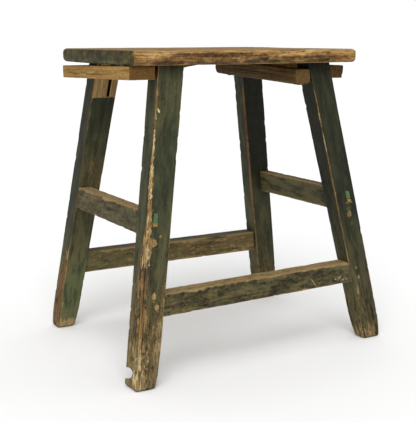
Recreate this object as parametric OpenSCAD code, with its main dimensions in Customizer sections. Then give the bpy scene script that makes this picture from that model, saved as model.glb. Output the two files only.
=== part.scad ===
// Old farm stool: a plank seat on four splayed legs, two long rails low down,
// two end rails higher up, and later repair strips nailed under the seat ends.
// Millimetres, +Z up. X runs along the seat, Y from the front (-) to the back (+).
// Origin: middle of the footprint, on the floor.
// Every leg stands at its own slant, because the stool is hand made and worn.

/* [Part to draw] */

// Name of one node, or "all"

/* [Seat] */

// Height of the sitting surface above the floor
seat_h = 501; // [480:1:520]
// Length of the plank
seat_l = 412; // [400:1:430]
// Width of the plank
seat_w = 286; // [276:1:300]
// Thickness of the plank
seat_t = 23; // [20:1:26]
// Plank centre, sideways from the middle of the footprint
seat_x = -7.5; // [-12:0.5:-4]
// Plank centre, front to back from the middle of the footprint
seat_y = 2.5; // [0:0.5:5]
// Worn rounding of the upper edges
top_round = 9; // [5:0.5:10]
// Rounding of the lower edges
low_round = 2.5; // [2:0.5:5]
// Rounding of the corners seen from above
plan_round = 5; // [4:0.5:10]

/* [Leg positions] */
// Distances from the origin to the two outer faces: x and y at the seat, x and y at the floor

// Front left leg
front_left_run = [163.5, 124.5, 243.5, 189.5]; // [110:0.5:250]
// Front right leg
front_right_run = [157, 118.5, 243.5, 174.5]; // [110:0.5:250]
// Back left leg
back_left_run = [172, 125.5, 238, 189.5]; // [110:0.5:250]
// Back right leg
back_right_run = [155.5, 122.5, 231.5, 174]; // [110:0.5:250]

/* [Leg sections] */
// Width (along the seat) and depth at the seat, then width and depth at the floor

// Front left leg
front_left_section = [43.5, 34, 38.5, 38.5]; // [28:0.5:48]
// Front right leg
front_right_section = [43.5, 35, 39.5, 32.5]; // [28:0.5:48]
// Back left leg
back_left_section = [45.5, 35, 37, 34]; // [28:0.5:48]
// Back right leg
back_right_section = [43.5, 33.5, 40, 34.5]; // [28:0.5:48]
// Rounding of the worn feet on the outer side
foot_round_out = 5.5; // [4:0.5:12]
// Rounding of the worn feet on the inner side
foot_round_in = 7; // [3:0.5:8]
// Rounding of the worn feet, front and back
foot_round_y = 4; // [2:0.5:6]

/* [Leg tenons in the seat] */

// Tenon length, along the seat
leg_tenon_l = 27; // [22:1:30]
// Tenon width, across the seat
leg_tenon_w = 16; // [12:1:20]
// Depth of the wedge driven into each tenon
leg_wedge_depth = 16; // [10:1:18]
// Thickness of that wedge at the sitting surface
leg_wedge_t = 3.2; // [2:0.2:4]

/* [Long rails] */

// Top edge of the front rail
front_rail_top = 139.5; // [120:0.5:180]
// Height of the front rail
front_rail_h = 34; // [30:1:42]
// Top edge of the back rail
back_rail_top = 140; // [120:0.5:180]
// Height of the back rail
back_rail_h = 39; // [32:1:44]
// Thickness of both long rails
long_rail_t = 28; // [24:0.5:30]
// Thickness of their through tenons
long_tenon_t = 11; // [8:0.5:12]
// Step from the rail down to its tenon, above and below
long_tenon_step = 4; // [2:0.5:6]
// Thickness of the wedge beside each tenon, at its thick end
long_wedge_t = 4.5; // [3:0.5:5]

/* [End rails] */

// Top edge of the left end rail
left_rail_top = 262.5; // [240:0.5:300]
// Height of the left end rail
left_rail_h = 35.5; // [32:0.5:44]
// Top edge of the right end rail
right_rail_top = 264; // [240:0.5:300]
// Height of the right end rail
right_rail_h = 40; // [34:0.5:44]
// Thickness of both end rails
end_rail_t = 21.5; // [18:0.5:24]
// Thickness of their through tenons
end_tenon_t = 9; // [7:0.5:10]
// Height of their through tenons
end_tenon_h = 14.5; // [12:0.5:16]
// Top of their through tenons
end_tenon_top = 262; // [250:0.5:262]
// Thickness of the wedge under each tenon, at its thick end
end_wedge_t = 5.5; // [4:0.5:7]

/* [Repair strips under the seat] */

// Width of the left batten
left_batten_w = 43; // [34:0.5:43]
// Thickness of the left batten
left_batten_t = 20.5; // [14:0.5:22]
// Length of the left batten
left_batten_l = 262; // [250:1:276]
// How far the left batten hangs down at the back, in degrees
left_batten_tilt = 1.2; // [0.2:0.1:1.2]
// Turn of the left batten seen from above, in degrees
left_batten_turn = 0.65; // [0.4:0.05:1]
// Height of the right batten
right_batten_t = 21.5; // [16:0.5:24]
// Gap between the seat and the right batten
right_batten_gap = 5; // [2:0.5:7]
// Width of the inner cleat
cleat_w = 33; // [26:0.5:36]
// Thickness of the inner cleat
cleat_t = 27; // [22:0.5:28]
// How far the inner cleat hangs down at the front, in degrees
cleat_tilt = 2.2; // [1:0.1:2.6]

/* [Nails] */

// Shank diameter
nail_d = 3.6; // [2.5:0.1:4.5]
// Head diameter
nail_head_d = 8.5; // [6:0.5:10]
// Head thickness
nail_head_t = 1.8; // [1:0.1:2.5]

/* [Damage] */

// Radius of the groove bitten into the front left foot
bite_r = 8.5; // [6:0.5:11]
// Height of that groove above the floor
bite_z = 19.5; // [14:0.5:24]
// How far the middle of that groove lies inside the foot's corner
bite_in = 4.5; // [2:0.5:5]
// Direction of that groove seen from above, in degrees
bite_turn = 59; // [45:1:70]
// Downward slope of that groove towards the back, in degrees
bite_slope = 18; // [10:1:20]
// Width of the empty slot left by a lost upper end rail
slot_w = 4; // [3:0.5:6]
// Depth of the empty slot
slot_depth = 12; // [6:0.5:14]
// Height of the slot's lower end
slot_low = 419; // [410:1:430]

/* [Hidden] */

$fn = 48;
// Underside of the seat, where the leg shoulders stop
under = seat_h - seat_t;
// Longer than anything on the stool, for cutters and slices
reach = 700;
// Short overlap that ties a tenon to its own leg
root = 6;
// Flats along each worn corner
wear_steps = 5;

// A leg is [run, section, [side in x, side in y]]
front_left = [front_left_run, front_left_section, [-1, -1]];
front_right = [front_right_run, front_right_section, [1, -1]];
back_left = [back_left_run, back_left_section, [-1, 1]];
back_right = [back_right_run, back_right_section, [1, 1]];
legs = [front_left, front_right, back_left, back_right];

// Left batten: front inner edge, and the height of its front upper edge
left_batten_x = -172.8;
left_batten_y = -132;
// Right batten: outer side at its top and bottom, and its two ends
right_batten_x = 187.5;
right_batten_lean = 3;
right_batten_ends = [-119.5, 123];
// Inner cleat: inner side, two ends, height of its front upper edge, worn corner radii
cleat_x = 87;
cleat_ends = [-121, 143];
cleat_front_top = 468;
cleat_round = 6;
cleat_round_out = 11;
cleat_round_front = 7;
cleat_round_back = 13;
// Corner shim: length along the seat, thickness at the leg, thin edge, front and back
shim_l = 24;
shim_t = 4.7;
shim_edge = 0.6;
shim_y = [-120, -99];
// Long rail tenons start this far in from the outer face of the rail
long_tenon_in = 8;
// End rail tenons start this far in from the outer face of the rail
end_tenon_in = 9.5;
// How deep the rail wedges reach into a leg
rail_wedge_depth = 22;
// Thin end of every wedge
wedge_edge = 1;
// Overlap between two cutters that meet face to face
spare_cut = 1;
// Every rail wedge is this much smaller than its tenon, at each side
wedge_short = 0.5;
// Nails up through the left batten: places along it, and the height of their tips
left_nails_y = [-104, -40, 24];
left_nail_x = -195;
left_nail_top = 490;
// Nails through the right batten into the legs: [y, z] of each, and where the tips end
right_nails_at = [[-106, 458], [-102, 466], [103, 458], [108, 466]];
right_nail_tip = 139;
// Nails up through the inner cleat: places along it, and the height of their tips
cleat_nails_y = [20, 112];
cleat_nail_x = 101;
cleat_nail_top = 491;
// How far a nail head stands out of the wood
nail_proud = 0.7;

wood_painted = [0.27, 0.29, 0.23];
wood_worn = [0.62, 0.49, 0.30];
wood_new = [0.72, 0.56, 0.31];
wood_bare = [0.36, 0.27, 0.17];
iron = [0.30, 0.26, 0.24];

// ---- leg geometry -------------------------------------------------------

// Value at height z on a line from the floor to the underside of the seat
function on_leg(at_seat, at_floor, z) = at_floor + (at_seat - at_floor) * z / under;

function outer_x(leg, z) = leg[2][0] * on_leg(leg[0][0], leg[0][2], z);
function outer_y(leg, z) = leg[2][1] * on_leg(leg[0][1], leg[0][3], z);
function inner_x(leg, z) = outer_x(leg, z) - leg[2][0] * on_leg(leg[1][0], leg[1][2], z);
function inner_y(leg, z) = outer_y(leg, z) - leg[2][1] * on_leg(leg[1][1], leg[1][3], z);
function mid_x(leg, z) = (outer_x(leg, z) + inner_x(leg, z)) / 2;
function mid_y(leg, z) = (outer_y(leg, z) + inner_y(leg, z)) / 2;
function pair_x(a, b, z) = (outer_x(a, z) + outer_x(b, z)) / 2;
function pair_y(a, b, z) = (outer_y(a, z) + outer_y(b, z)) / 2;

// Shortest signed turn from angle a to angle b
function turn(a, b) = b - a > 180 ? b - a - 360 : b - a < -180 ? b - a + 360 : b - a;

// Short run of points that rounds corner b between neighbours a and c
function worn(a, b, c, r) =
    let (u = (a - b) / norm(a - b),
         v = (c - b) / norm(c - b),
         half = acos(u * v) / 2,
         centre = b + (u + v) / norm(u + v) * r / sin(half),
         from = b + u * r / tan(half) - centre,
         to = b + v * r / tan(half) - centre,
         start = atan2(from[1], from[0]),
         sweep = turn(start, atan2(to[1], to[0])))
    [for (k = [0 : wear_steps])
        centre + r * [cos(start + sweep * k / wear_steps), sin(start + sweep * k / wear_steps)]];

// Outline drawn in x and z, pushed through the whole depth
module through_y(points) {
    rotate([90, 0, 0])
        linear_extrude(height = reach, center = true)
            polygon(points);
}

// Outline drawn in y and z, pushed through the whole length
module through_x(points) {
    rotate([90, 0, 90])
        linear_extrude(height = reach, center = true)
            polygon(points);
}

// Rectangle with a worn lower edge: upper left, upper right, lower right, lower left
function foot_outline(p, round_right, round_left) =
    concat([p[0], p[1]],
           worn(p[1], p[2], p[3], round_right),
           worn(p[2], p[3], p[0], round_left));

module leg_blank(leg) {
    intersection() {
        through_y(foot_outline([[outer_x(leg, under), under], [inner_x(leg, under), under],
                                [inner_x(leg, 0), 0], [outer_x(leg, 0), 0]],
                               foot_round_in, foot_round_out));
        through_x(foot_outline([[outer_y(leg, under), under], [inner_y(leg, under), under],
                                [inner_y(leg, 0), 0], [outer_y(leg, 0), 0]],
                               foot_round_y, foot_round_y));
    }
}

module leg_tenon(leg) {
    translate([mid_x(leg, under), mid_y(leg, under), under - root])
        linear_extrude(height = seat_t + root)
            square([leg_tenon_l, leg_tenon_w], center = true);
}

// Mortise in the seat for one leg tenon
module leg_mortise(leg) {
    translate([mid_x(leg, under), mid_y(leg, under), under - root])
        linear_extrude(height = seat_t + 2 * root)
            square([leg_tenon_l, leg_tenon_w], center = true);
}

// Wedge in one leg tenon; spare makes the matching kerf longer at its open sides
module leg_wedge(leg, spare) {
    translate([mid_x(leg, under), mid_y(leg, under), seat_h])
        rotate([90, 0, 0])
            linear_extrude(height = leg_tenon_w + 2 * spare, center = true)
                polygon([[-leg_wedge_t / 2, spare], [-leg_wedge_t / 2, 0],
                         [-wedge_edge / 2, -leg_wedge_depth], [wedge_edge / 2, -leg_wedge_depth],
                         [leg_wedge_t / 2, 0], [leg_wedge_t / 2, spare]]);
}

// ---- rails --------------------------------------------------------------

// Space between two legs: level 0 stops at the inner faces, level 1 at the outer faces
module between_x(left, right, level) {
    low = -root;
    through_y(level == 0
        ? [[inner_x(left, low), low], [inner_x(right, low), low],
           [inner_x(right, under), under], [inner_x(left, under), under]]
        : [[outer_x(left, low), low], [outer_x(right, low), low],
           [outer_x(right, under), under], [outer_x(left, under), under]]);
}

module between_y(front, back, level) {
    low = -root;
    through_x(level == 0
        ? [[inner_y(front, low), low], [inner_y(back, low), low],
           [inner_y(back, under), under], [inner_y(front, under), under]]
        : [[outer_y(front, low), low], [outer_y(back, low), low],
           [outer_y(back, under), under], [outer_y(front, under), under]]);
}

// Turns its children in line with the outer faces of two legs, seen from above
module along_x(left, right, z) {
    slope = (outer_y(right, z) - outer_y(left, z)) / (outer_x(right, z) - outer_x(left, z));
    pivot = [(outer_x(left, z) + outer_x(right, z)) / 2, pair_y(left, right, z), 0];
    translate(pivot)
        rotate([0, 0, atan(slope)])
            translate(-pivot)
                children();
}

module along_y(front, back, z) {
    slope = (outer_x(back, z) - outer_x(front, z)) / (outer_y(back, z) - outer_y(front, z));
    pivot = [pair_x(front, back, z), (outer_y(front, z) + outer_y(back, z)) / 2, 0];
    translate(pivot)
        rotate([0, 0, -atan(slope)])
            translate(-pivot)
                children();
}

// Bar that follows the slant of the outer faces, from depth a to depth b behind them
module long_bar(left, right, top, low, a, b) {
    side = left[2][1];
    along_x(left, right, (top + low) / 2)
        through_x([[pair_y(left, right, top) - side * a, top],
                   [pair_y(left, right, top) - side * b, top],
                   [pair_y(left, right, low) - side * b, low],
                   [pair_y(left, right, low) - side * a, low]]);
}

module end_bar(front, back, top, low, a, b) {
    side = front[2][0];
    along_y(front, back, (top + low) / 2)
        through_y([[pair_x(front, back, top) - side * a, top],
                   [pair_x(front, back, top) - side * b, top],
                   [pair_x(front, back, low) - side * b, low],
                   [pair_x(front, back, low) - side * a, low]]);
}

// Rails sit this far behind the outer faces of the legs
rail_inset = 0.8;

// Tenon bar of a long rail, running on past both legs
module long_tenon_bar(left, right, top, h) {
    long_bar(left, right, top - long_tenon_step, top - h + long_tenon_step,
             long_tenon_in, long_tenon_in + long_tenon_t);
}

module long_rail(left, right, top, h) {
    union() {
        intersection() {
            long_bar(left, right, top, top - h, rail_inset, rail_inset + long_rail_t);
            between_x(left, right, 0);
        }
        intersection() {
            long_tenon_bar(left, right, top, h);
            between_x(left, right, 1);
        }
    }
}

// Wedge bar on the inner side of one long rail tenon, at leg "at"; spare reaches into the tenon
module long_wedge_bar(left, right, at, top, h, spare) {
    side = left[2][1];
    out = at[2][0];
    mid = top - h / 2;
    lean = (pair_y(left, right, top) - pair_y(left, right, top - h)) / h;
    face = outer_x(at, mid);
    intersection() {
        along_x(left, right, mid)
            translate([0, pair_y(left, right, mid) - side * (long_tenon_in + long_tenon_t), mid])
                rotate([-atan(lean), 0, 0])
                    linear_extrude(height = 2 * h, center = true)
                        polygon([[face + out * root, side * spare],
                                 [face + out * root, -side * long_wedge_t],
                                 [face, -side * long_wedge_t],
                                 [face - out * rail_wedge_depth, -side * wedge_edge],
                                 [face - out * rail_wedge_depth, side * spare]]);
        translate([0, 0, mid])
            cube([reach, reach, h - 2 * long_tenon_step - 2 * wedge_short], center = true);
    }
}

module long_wedge(left, right, at, top, h) {
    intersection() {
        long_wedge_bar(left, right, at, top, h, 0);
        between_x(left, right, 1);
    }
}

// Tenon bar of an end rail, running on past both legs
module end_tenon_bar(front, back) {
    end_bar(front, back, end_tenon_top, end_tenon_top - end_tenon_h,
            end_tenon_in, end_tenon_in + end_tenon_t);
}

module end_rail(front, back, top, h) {
    union() {
        intersection() {
            end_bar(front, back, top, top - h, rail_inset, rail_inset + end_rail_t);
            between_y(front, back, 0);
        }
        intersection() {
            end_tenon_bar(front, back);
            between_y(front, back, 1);
        }
    }
}

// Wedge bar below one end rail tenon, at leg "at"; spare reaches into the tenon
module end_wedge_bar(front, back, at, spare) {
    out = at[2][1];
    top = end_tenon_top - end_tenon_h;
    mid = top + end_tenon_h / 2;
    face = outer_y(at, top);
    intersection() {
        end_bar(front, back, top + end_tenon_h, top - end_tenon_h,
                end_tenon_in + wedge_short, end_tenon_in + end_tenon_t - wedge_short);
        along_y(front, back, mid)
            through_x([[face + out * root, top + spare], [face - out * rail_wedge_depth, top + spare],
                       [face - out * rail_wedge_depth, top - wedge_edge],
                       [face, top - end_wedge_t], [face + out * root, top - end_wedge_t]]);
    }
}

module end_wedge(front, back, at) {
    intersection() {
        end_wedge_bar(front, back, at, 0);
        between_y(front, back, 1);
    }
}

// ---- repair strips and nails -------------------------------------------

module nail_up(head_z, tip_z) {
    length = tip_z - head_z;
    translate([0, 0, head_z])
        rotate_extrude()
            polygon([[0, 0], [nail_head_d / 2, 0], [nail_head_d / 2, nail_head_t],
                     [nail_d / 2, nail_head_t], [nail_d / 2, length - nail_d],
                     [nail_d / 12, length], [0, length]]);
}

// Nail driven in along x from the right, from the head at head_x to the tip at tip_x
module nail_side(head_x, tip_x) {
    translate([head_x, 0, 0])
        rotate([0, -90, 0])
            nail_up(0, head_x - tip_x);
}

// Undersides of the left batten and of the inner cleat at y, and outer side of the right batten at z
function left_batten_low(y) = under - left_batten_t - (y - left_batten_y) * tan(left_batten_tilt);
function cleat_low(y) =
    cleat_front_top - cleat_t / cos(cleat_tilt) + (y - cleat_ends[0]) * tan(cleat_tilt);
function right_batten_side(z) =
    right_batten_x - right_batten_lean * (under - right_batten_gap - z) / right_batten_t;

module left_nails() {
    for (y = left_nails_y)
        translate([left_nail_x, y, 0])
            nail_up(left_batten_low(y) - nail_proud, left_nail_top);
}

module right_nails() {
    for (at = right_nails_at)
        translate([0, at[0], at[1]])
            nail_side(right_batten_side(at[1]) + nail_proud, right_nail_tip);
}

module inner_nails() {
    for (y = cleat_nails_y)
        translate([cleat_nail_x, y, 0])
            nail_up(cleat_low(y) - nail_proud, cleat_nail_top);
}

// Slot of the lost upper end rail, cut into the inner face of a left leg
module lost_rail_slot(leg) {
    side = leg[2][1];
    across = 0.67;
    function slot_x(z) = outer_x(leg, z) * (1 - across) + inner_x(leg, z) * across;
    intersection() {
        through_y([[slot_x(under) - slot_w / 2, under + root], [slot_x(under) + slot_w / 2, under + root],
                   [slot_x(slot_low) + slot_w / 2, slot_low], [slot_x(slot_low) - slot_w / 2, slot_low]]);
        through_x([[inner_y(leg, under) - side * root, under + root],
                   [inner_y(leg, under) + side * slot_depth, under + root],
                   [inner_y(leg, slot_low) + side * slot_depth, slot_low],
                   [inner_y(leg, slot_low) - side * root, slot_low]]);
    }
}

module foot_bite(leg) {
    translate([outer_x(leg, bite_z), inner_y(leg, bite_z), bite_z])
        rotate([0, 0, bite_turn])
            translate([0, -bite_in, 0])
                rotate([0, 90 + bite_slope, 0])
                    cylinder(r = bite_r, h = 90, center = true);
}

// ---- nodes --------------------------------------------------------------

// Square-cornered bar section with round corners: w wide, t thick, top at 0
module round_section(w, t, upper, lower) {
    translate([-w / 2 + lower, -t]) square([w - 2 * lower, t]);
    translate([-w / 2, -t + lower]) square([w, t - lower - upper]);
    translate([-w / 2 + upper, -t / 2]) square([w - 2 * upper, t / 2]);
    for (side = [-1, 1]) {
        translate([side * (w / 2 - upper), -upper]) circle(upper);
        translate([side * (w / 2 - lower), -t + lower]) circle(lower);
    }
}

module seat_blank() {
    intersection() {
        rotate([90, 0, 0])
            linear_extrude(height = seat_w + 2 * root, center = true)
                round_section(seat_l, seat_t, top_round, low_round);
        rotate([90, 0, 90])
            linear_extrude(height = seat_l + 2 * root, center = true)
                round_section(seat_w, seat_t, top_round, low_round);
        translate([0, 0, -seat_t - root])
            linear_extrude(height = seat_t + 2 * root)
                union() {
                    square([seat_l - 2 * plan_round, seat_w], center = true);
                    square([seat_l, seat_w - 2 * plan_round], center = true);
                    for (sx = [-1, 1], sy = [-1, 1])
                        translate([sx * (seat_l / 2 - plan_round), sy * (seat_w / 2 - plan_round)])
                            circle(plan_round);
                }
    }
}

module seat() {
    color(wood_worn)
        difference() {
            translate([seat_x, seat_y, seat_h]) seat_blank();
            for (leg = legs) leg_mortise(leg);
            left_nails();
            inner_nails();
        }
}

// Leg with its tenon and all its mortises; children are cut away as well
module leg_body(leg, left, right, rail_top, rail_h, front, back) {
    color(wood_painted)
        difference() {
            union() {
                leg_blank(leg);
                leg_tenon(leg);
            }
            leg_wedge(leg, spare_cut);
            long_tenon_bar(left, right, rail_top, rail_h);
            long_wedge_bar(left, right, leg, rail_top, rail_h, spare_cut);
            end_tenon_bar(front, back);
            end_wedge_bar(front, back, leg, spare_cut);
            children();
        }
}

module leg_front_left() {
    leg_body(front_left, front_left, front_right, front_rail_top, front_rail_h, front_left, back_left) {
        lost_rail_slot(front_left);
        foot_bite(front_left);
    }
}

module leg_front_right() {
    leg_body(front_right, front_left, front_right, front_rail_top, front_rail_h, front_right, back_right) {
        right_nails();
    }
}

module leg_back_left() {
    leg_body(back_left, back_left, back_right, back_rail_top, back_rail_h, front_left, back_left) {
        lost_rail_slot(back_left);
    }
}

module leg_back_right() {
    leg_body(back_right, back_left, back_right, back_rail_top, back_rail_h, front_right, back_right) {
        right_nails();
    }
}

module rail_front() {
    color(wood_painted) long_rail(front_left, front_right, front_rail_top, front_rail_h);
}

module rail_back() {
    color(wood_painted) long_rail(back_left, back_right, back_rail_top, back_rail_h);
}

module end_rail_left() {
    color(wood_painted) end_rail(front_left, back_left, left_rail_top, left_rail_h);
}

module end_rail_right() {
    color(wood_painted) end_rail(front_right, back_right, right_rail_top, right_rail_h);
}

module batten_left() {
    color(wood_new)
        difference() {
            translate([left_batten_x, left_batten_y, under])
                rotate([-left_batten_tilt, 0, left_batten_turn])
                    translate([-left_batten_w, 0, -left_batten_t])
                        cube([left_batten_w, left_batten_l, left_batten_t]);
            left_nails();
        }
}

module batten_right() {
    top = under - right_batten_gap;
    low = top - right_batten_t;
    length = right_batten_ends[1] - right_batten_ends[0];
    color(wood_bare)
        difference() {
            translate([0, right_batten_ends[0] + length / 2, 0])
                rotate([90, 0, 0])
                    linear_extrude(height = length, center = true)
                        polygon([[outer_x(back_right, low), low], [right_batten_x - right_batten_lean, low],
                                 [right_batten_x, top], [outer_x(back_right, top), top]]);
            leg_blank(front_right);
            right_nails();
        }
}

module cleat_right() {
    length = cleat_ends[1] - cleat_ends[0];
    color(wood_bare)
        difference() {
            intersection() {
                translate([cleat_x, cleat_ends[0], cleat_front_top])
                    rotate([cleat_tilt, 0, 0])
                        intersection() {
                            through_y(concat([[0, 0]],
                                worn([0, 0], [0, -cleat_t], [cleat_w, -cleat_t], cleat_round),
                                worn([0, -cleat_t], [cleat_w, -cleat_t], [cleat_w, 0], cleat_round_out),
                                [[cleat_w, 0]]));
                            through_x(concat([[0, 0]],
                                worn([0, 0], [0, -cleat_t], [length, -cleat_t], cleat_round_front),
                                worn([0, -cleat_t], [length, -cleat_t], [length, 0], cleat_round_back),
                                [[length, 0]]));
                        }
                between_x(front_left, front_right, 0);
            }
            leg_blank(back_right);
            inner_nails();
        }
}

module corner_shim() {
    x_leg = inner_x(front_left, under);
    color(wood_bare)
        translate([0, (shim_y[0] + shim_y[1]) / 2, 0])
            rotate([90, 0, 0])
                linear_extrude(height = shim_y[1] - shim_y[0], center = true)
                    polygon([[x_leg, under], [inner_x(front_left, under - shim_t), under - shim_t],
                             [x_leg + shim_l, under - shim_edge], [x_leg + shim_l, under]]);
}

module leg_wedges() {
    color(wood_new)
        for (leg = legs) leg_wedge(leg, 0);
}

module long_rail_wedges() {
    color(wood_new) {
        for (at = [front_left, front_right])
            long_wedge(front_left, front_right, at, front_rail_top, front_rail_h);
        for (at = [back_left, back_right])
            long_wedge(back_left, back_right, at, back_rail_top, back_rail_h);
    }
}

module end_rail_wedges() {
    color(wood_new) {
        for (at = [front_left, back_left])
            end_wedge(front_left, back_left, at);
        for (at = [front_right, back_right])
            end_wedge(front_right, back_right, at);
    }
}

module batten_left_nails() {
    color(iron) left_nails();
}

module batten_right_nails() {
    color(iron) right_nails();
}

module cleat_nails() {
    color(iron) inner_nails();
}

seat();
leg_front_left();
leg_front_right();
leg_back_left();
leg_back_right();
rail_front();
rail_back();
end_rail_left();
end_rail_right();
batten_left();
batten_right();
cleat_right();
corner_shim();
leg_wedges();
long_rail_wedges();
end_rail_wedges();
batten_left_nails();
batten_right_nails();
cleat_nails();
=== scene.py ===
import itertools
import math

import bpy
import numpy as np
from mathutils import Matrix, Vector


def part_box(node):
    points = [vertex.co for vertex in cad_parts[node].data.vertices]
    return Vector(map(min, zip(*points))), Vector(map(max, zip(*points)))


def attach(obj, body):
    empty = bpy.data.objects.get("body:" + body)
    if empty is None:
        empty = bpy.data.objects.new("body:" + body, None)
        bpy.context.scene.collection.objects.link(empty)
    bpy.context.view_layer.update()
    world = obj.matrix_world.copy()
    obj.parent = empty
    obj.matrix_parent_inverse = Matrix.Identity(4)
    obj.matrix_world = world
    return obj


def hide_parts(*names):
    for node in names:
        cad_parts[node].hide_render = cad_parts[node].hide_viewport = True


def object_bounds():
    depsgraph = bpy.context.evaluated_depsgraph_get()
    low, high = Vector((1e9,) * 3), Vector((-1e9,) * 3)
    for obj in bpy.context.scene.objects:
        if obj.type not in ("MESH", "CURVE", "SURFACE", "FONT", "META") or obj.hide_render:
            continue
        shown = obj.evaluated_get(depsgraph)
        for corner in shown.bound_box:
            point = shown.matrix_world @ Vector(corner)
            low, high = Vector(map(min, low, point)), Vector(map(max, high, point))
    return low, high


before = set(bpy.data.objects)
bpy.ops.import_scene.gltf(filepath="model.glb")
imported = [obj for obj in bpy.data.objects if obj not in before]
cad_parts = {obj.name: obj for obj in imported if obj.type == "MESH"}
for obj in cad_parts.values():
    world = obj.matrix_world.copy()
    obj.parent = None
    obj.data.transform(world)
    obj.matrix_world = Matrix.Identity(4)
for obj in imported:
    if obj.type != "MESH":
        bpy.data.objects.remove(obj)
cad_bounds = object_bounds()

# Looks of an old painted farm stool.
#
# Every wooden CAD node and every group of nails is shown by a dense mesh of its own, made
# from that node's shape. Wear only takes material away, so the stool stays inside its CAD box.
# Each mesh also stores how far the paint is worn, how weathered the wood is, how dirty it is,
# where shade is painted on it, and its place along the grain, and the materials read these stored
# values.
#
# Lengths are millimetres, in the row's frame: X along the seat, Y from front to back, Z up.
# Only Blender's own values (mesh points, sockets, camera, lights, floor) are metres.
# A noise's seed only tells it from the piece's other noises.

MM = 0.001


# ---- noise ---------------------------------------------------------------

def cell_value(cells, seed):
    """A repeatable random number from 0 to 1 for each whole-numbered cell: its bits, well mixed."""
    x, y, z = cells.astype(np.int64).T
    n = (x * 73856093 ^ y * 19349663 ^ z * 83492791 ^ seed * 1640531527) & 0xFFFFFFFF
    n = ((n ^ (n >> 15)) * 739982445) & 0xFFFFFFFF
    n = ((n ^ (n >> 12)) * 695872825) & 0xFFFFFFFF
    return (n ^ (n >> 15)) / 0xFFFFFFFF


def noise(points, size, seed):
    """Smooth noise from 0 to 1. size is the length of one bump along each axis."""
    place = points / np.asarray(size, float)
    cell = np.floor(place)
    part = place - cell
    part = part * part * (3 - 2 * part)
    total = np.zeros(len(points))
    for corner in itertools.product((0, 1), repeat=3):
        share = np.prod(np.where(corner, part, 1 - part), axis=1)
        total += share * cell_value(cell + corner, seed)
    return total


def fractal(points, size, seed, octaves):
    """Noise from 0 to 1 with finer and weaker layers added."""
    size = np.asarray(size, float)
    weights = [0.5 ** k for k in range(octaves)]
    layers = [w * noise(points, size * w, seed + 17 * k) for k, w in enumerate(weights)]
    return sum(layers) / sum(weights)


def step(low, high, values):
    """0 up to low, 1 from high on, and smooth between; high may be the smaller one."""
    t = np.clip((values - low) / (high - low), 0, 1)
    return t * t * (3 - 2 * t)


# ---- pieces --------------------------------------------------------------

def mesh_arrays(mesh):
    """Corner points in millimetres and the triangles between them."""
    mesh.calc_loop_triangles()
    points = np.empty(len(mesh.vertices) * 3, np.float32)
    mesh.vertices.foreach_get("co", points)
    triangles = np.empty(len(mesh.loop_triangles) * 3, np.int32)
    mesh.loop_triangles.foreach_get("vertices", triangles)
    return points.reshape(-1, 3).astype(float) / MM, triangles.reshape(-1, 3)


def triangle_facts(points, triangles):
    """Unit normal, area and middle of each triangle."""
    a, b, c = (points[triangles[:, k]] for k in range(3))
    normal = np.cross(b - a, c - a)
    size = np.linalg.norm(normal, axis=1)
    return normal / np.maximum(size, 1e-9)[:, None], size / 2, (a + b + c) / 3


def grain_axes(points, triangles):
    """Middle of a piece and its three directions: along the grain, across it, and the third."""
    _, area, middle = triangle_facts(points, triangles)
    centre = np.average(middle, axis=0, weights=area)
    spread = np.cov((middle - centre).T, aweights=area)
    along = np.linalg.eigh(spread)[1][:, -1]
    along *= np.sign(along[np.argmax(abs(along))])
    upright = abs(along[2]) > 0.7
    across = np.array([1.0, 0, 0]) if upright else np.cross([0, 0, 1.0], along)
    across -= along * (across @ along)
    across /= np.linalg.norm(across)
    return centre, np.array([along, across, np.cross(along, across)])


# A flat face counts as an outer one from this share of the piece's whole surface, and if no
# point stands further than this beyond it
LEAST_FACE_SHARE = 0.004
MOST_STAND_OUT = 0.2


def outer_faces(points, triangles):
    """Flat faces that the whole piece lies behind: their normals and distances from the origin."""
    normal, area, middle = triangle_facts(points, triangles)
    distance = (normal * middle).sum(1)
    same_plane = np.round(np.c_[normal * 400, distance * 4]).astype(int)
    _, group = np.unique(same_plane, axis=0, return_inverse=True)
    group = group.ravel()
    share = np.bincount(group, area) / area.sum()
    faces = []
    for k in np.flatnonzero(share > LEAST_FACE_SHARE):
        inside = group == k
        direction = np.average(normal[inside], axis=0, weights=area[inside])
        direction /= np.linalg.norm(direction)
        offset = (points @ direction).max()
        if offset - np.average(distance[inside], weights=area[inside]) < MOST_STAND_OUT:
            faces.append((direction, offset))
    return np.array([f[0] for f in faces]), np.array([f[1] for f in faces])


def dense_object(node, turn, voxel, soften):
    """A closed copy of a CAD node in small even faces, made while it lies square to them."""
    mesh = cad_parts[node].data.copy()
    mesh.materials.clear()
    mesh.transform(turn)
    piece = bpy.data.objects.new(node + "_worn", mesh)
    bpy.context.scene.collection.objects.link(piece)
    remesh = piece.modifiers.new("even faces", "REMESH")
    remesh.mode = "VOXEL"
    remesh.voxel_size = voxel * MM
    smooth = piece.modifiers.new("soften", "SMOOTH")
    smooth.factor = 0.5
    smooth.iterations = soften
    bpy.context.view_layer.update()
    shaped = piece.evaluated_get(bpy.context.evaluated_depsgraph_get())
    piece.data = bpy.data.meshes.new_from_object(shaped)
    piece.modifiers.clear()
    piece.data.transform(turn.inverted())
    return piece


# Values from 0 to 1 that every mesh stores for its material: bare - paint worn through;
# aged - weathered grey; brown - stained brown; fresh - paint kept bright; dirt_and_shade - dark
# grime, and painted shade on inner faces, under the seat and on the strips below it; split - inside a
# crack, painted dark as grime and shade in it; pale - scraped light
STORED = ("bare", "aged", "brown", "fresh", "dirt_and_shade", "split", "pale")


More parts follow.
